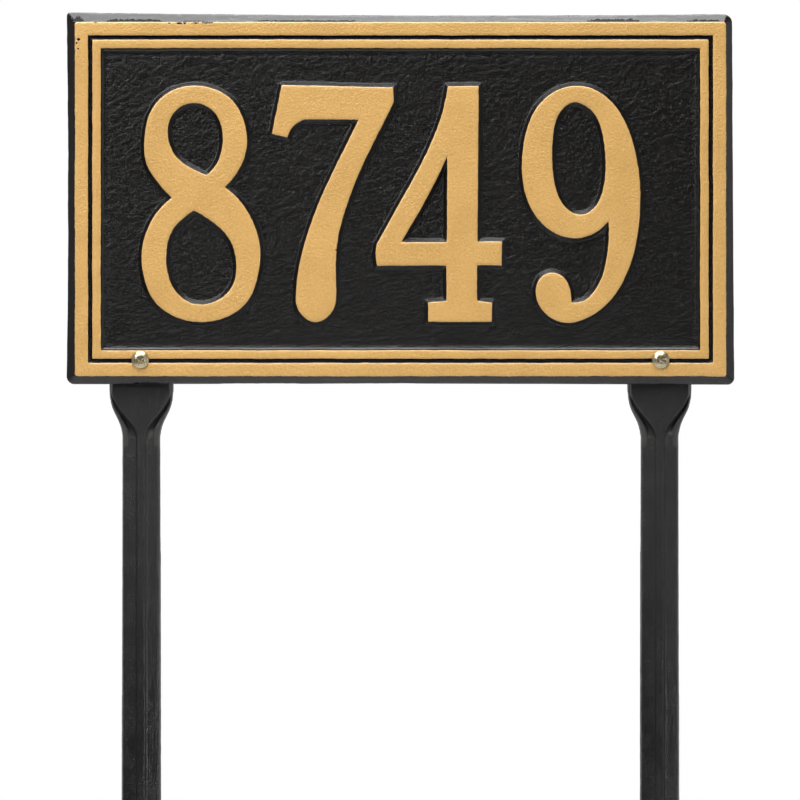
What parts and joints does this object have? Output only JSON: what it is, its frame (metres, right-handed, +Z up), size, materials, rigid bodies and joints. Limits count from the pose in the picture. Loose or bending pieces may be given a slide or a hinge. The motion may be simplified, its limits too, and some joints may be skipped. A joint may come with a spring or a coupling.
{
  "type": "house number plaque on lawn stakes",
  "caption": "Cast rectangular number plaque with a double-line raised border and raised numerals, screwed to a pair of pointed, ribbed stakes that push into the ground.",
  "frame": {"origin": "on the soil line, midway between the stakes, in the plane where the plaque's back meets their tabs", "axes": "+Z up, the numerals face along -Y, +X to the right as the numerals are read"},
  "size_m": [0.4219, 0.0261, 0.6609],
  "materials": {
    "plaque_paint": "satin black paint on cast aluminium, with gold paint on the tops of the border and numerals",
    "stake_paint": "satin black paint on cast aluminium",
    "screw_brass": "dulled brass",
    "washer_steel": "plain spring steel",
    "nut_brass": "dulled brass"
  },
  "bodies": {
    "root": {"plaque": "plaque_paint", "left_stake": "stake_paint", "right_stake": "stake_paint", "screws": "screw_brass", "lock_washers": "washer_steel", "nuts": "nut_brass"}
  },
  "joints": []
}
